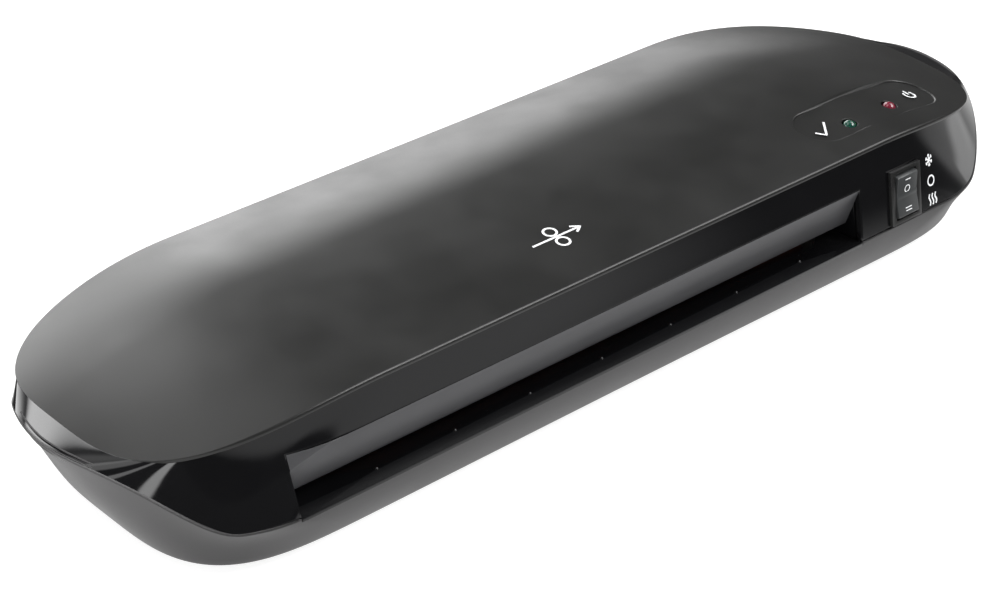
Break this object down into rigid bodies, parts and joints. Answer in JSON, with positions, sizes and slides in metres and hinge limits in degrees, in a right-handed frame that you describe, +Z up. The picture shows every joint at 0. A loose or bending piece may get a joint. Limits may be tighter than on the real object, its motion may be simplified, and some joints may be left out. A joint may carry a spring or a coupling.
{
  "type": "pouch laminator",
  "caption": "Low desktop pouch laminator: domed case with rounded ends, feed slot in front, exit slot behind, rocker switch and lamps.",
  "frame": {"origin": "centre of the footprint, on the surface that the rubber feet stand on", "axes": "+X along the machine towards the switch end, -Y towards the person feeding a pouch, +Z up"},
  "size_m": [0.3804, 0.1154, 0.0564],
  "materials": {
    "satin_black_case": "satin black ABS with a very fine texture",
    "satin_grey_base": "satin charcoal ABS",
    "satin_grey_panel": "satin dark grey ABS",
    "gloss_black_band": "piano black gloss ABS",
    "switch_black": "satin black nylon",
    "rocker_grey": "satin dark grey nylon with white printed marks",
    "green_lens": "tinted clear epoxy, green",
    "red_lens": "tinted clear epoxy, red",
    "rubber": "moulded rubber",
    "silicone": "brick red heat-proof silicone",
    "zinc_steel": "zinc plated sheet steel",
    "bright_steel": "ground bright steel",
    "heater_aluminium": "extruded aluminium",
    "bush_plastic": "natural heat-proof nylon",
    "gear_plastic": "white acetal",
    "board_green": "green solder mask on fibreglass",
    "component_black": "moulded component bodies",
    "brass_tab": "brass blades",
    "insulation": "mica and ceramic insulation"
  },
  "bodies": {
    "case": {"base_shell": "satin_grey_base", "front_band": "gloss_black_band", "top_cover": "satin_black_case", "feed_table": "gloss_black_band", "mouth_frame": "satin_grey_panel", "exit_guide": "switch_black", "cord_gland": "rubber", "rubber_feet": "rubber", "case_screws": "zinc_steel", "lamp_board": "board_green", "switch_body": "switch_black", "switch_tabs": "brass_tab", "left_frame": "zinc_steel", "right_frame": "zinc_steel", "front_tie": "zinc_steel", "rear_tie": "zinc_steel", "tie_screws": "zinc_steel", "frame_screws": "zinc_steel", "lower_bushes": "bush_plastic", "idler_pin": "bright_steel", "drive_motor": "zinc_steel", "motor_posts": "zinc_steel", "motor_screws": "zinc_steel", "thermostat": "insulation", "thermal_fuse": "bright_steel", "control_board": "board_green", "board_relay": "component_black", "board_capacitor": "component_black", "terminal_block": "component_black", "board_screws": "zinc_steel", "ready_lens": "green_lens", "power_lens": "red_lens", "upper_heater": "heater_aluminium", "lower_heater": "heater_aluminium", "upper_element": "insulation", "lower_element": "insulation", "entry_springs": "bright_steel", "exit_springs": "bright_steel"},
    "rocker": {"switch_rocker": "rocker_grey"},
    "entry_lower_roller": {"entry_lower_core": "bright_steel", "entry_lower_sleeve": "silicone", "entry_lower_gear": "gear_plastic"},
    "exit_lower_roller": {"exit_lower_core": "bright_steel", "exit_lower_sleeve": "silicone", "exit_lower_gear": "gear_plastic"},
    "entry_float": {"entry_upper_bushes": "bush_plastic"},
    "exit_float": {"exit_upper_bushes": "bush_plastic"},
    "entry_upper_roller": {"entry_upper_core": "bright_steel", "entry_upper_sleeve": "silicone", "entry_upper_gear": "gear_plastic"},
    "exit_upper_roller": {"exit_upper_core": "bright_steel", "exit_upper_sleeve": "silicone", "exit_upper_gear": "gear_plastic"},
    "idler": {"idler_gear": "gear_plastic"},
    "motor_output": {"motor_shaft": "bright_steel", "motor_pinion": "gear_plastic"}
  },
  "joints": [
    {"name": "rocker_tilt", "type": "hinge", "parent": "case", "child": "rocker", "pos_m": [0.1173, -0.05346, 0.02967], "axis": [1, 0, 0], "range_deg": [-10, 10]},
    {"name": "entry_lower_turn", "type": "hinge", "parent": "case", "child": "entry_lower_roller", "pos_m": [-0.022, -0.025, 0.01455], "axis": [1, 0, 0], "continuous": true},
    {"name": "exit_lower_turn", "type": "hinge", "parent": "case", "child": "exit_lower_roller", "pos_m": [-0.022, 0.019, 0.01455], "axis": [1, 0, 0], "continuous": true},
    {"name": "entry_float_slide", "type": "slide", "parent": "case", "child": "entry_float", "axis": [0, 0, 1], "range_m": [0, 0.0012], "stiffness_N_per_m": 4000, "deforming": ["entry_springs"]},
    {"name": "exit_float_slide", "type": "slide", "parent": "case", "child": "exit_float", "axis": [0, 0, 1], "range_m": [0, 0.0012], "stiffness_N_per_m": 4000, "deforming": ["exit_springs"]},
    {"name": "entry_upper_turn", "type": "hinge", "parent": "entry_float", "child": "entry_upper_roller", "pos_m": [-0.022, -0.025, 0.02855], "axis": [1, 0, 0], "continuous": true},
    {"name": "exit_upper_turn", "type": "hinge", "parent": "exit_float", "child": "exit_upper_roller", "pos_m": [-0.022, 0.019, 0.02855], "axis": [1, 0, 0], "continuous": true},
    {"name": "idler_turn", "type": "hinge", "parent": "case", "child": "idler", "pos_m": [0.111, -0.003, 0.02642], "axis": [1, 0, 0], "continuous": true},
    {"name": "motor_turn", "type": "hinge", "parent": "case", "child": "motor_output", "pos_m": [0.111, 0.02018, 0.03264], "axis": [1, 0, 0], "continuous": true}
  ],
  "couplings": [
    {"joint": "entry_upper_turn", "follows": "entry_lower_turn", "ratio": -1},
    {"joint": "exit_lower_turn", "follows": "entry_lower_turn", "ratio": 1},
    {"joint": "exit_upper_turn", "follows": "entry_lower_turn", "ratio": -1},
    {"joint": "idler_turn", "follows": "entry_lower_turn", "ratio": -0.38889},
    {"joint": "motor_turn", "follows": "entry_lower_turn", "ratio": 1.1667}
  ]
}
